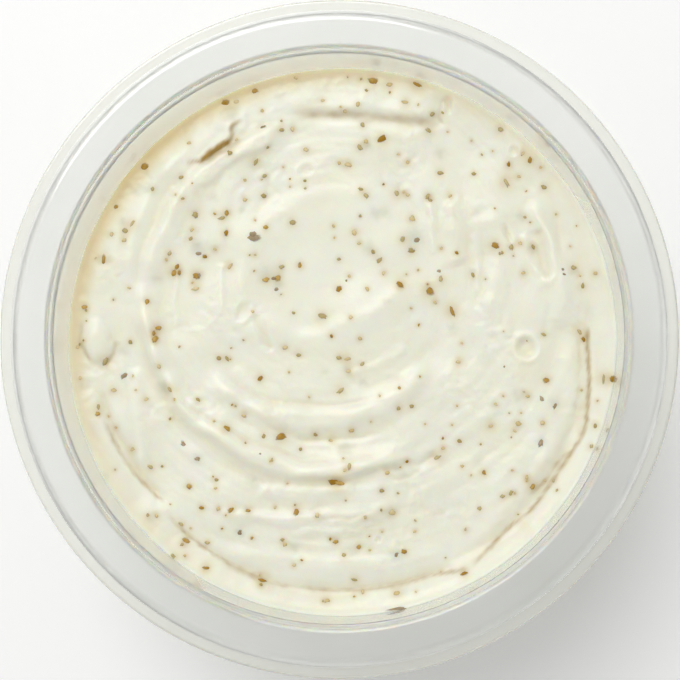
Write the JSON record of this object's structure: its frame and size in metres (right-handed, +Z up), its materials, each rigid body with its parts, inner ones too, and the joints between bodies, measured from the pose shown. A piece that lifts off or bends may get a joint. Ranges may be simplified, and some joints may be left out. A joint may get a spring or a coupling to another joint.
{
  "type": "tub of aioli",
  "caption": "Round clear plastic dip tub with a wide flat flange, filled with swirled creamy aioli that is flecked with dried herbs.",
  "frame": {"origin": "centre of the foot ring, on the surface that the tub stands on", "axes": "+Z up, along the tub's axis, out of its mouth; +X to the right and +Y to the top of the picture, which looks straight down into the tub"},
  "size_m": [0.101, 0.101, 0.046],
  "materials": {
    "clear_plastic": "thin, clear, slightly milky polypropylene with a smooth gloss",
    "aioli": "thick, moist, creamy emulsion with a soft gloss, flecked with olive-brown dried herbs"
  },
  "bodies": {
    "root": {"tub": "clear_plastic", "aioli": "aioli"}
  },
  "joints": []
}
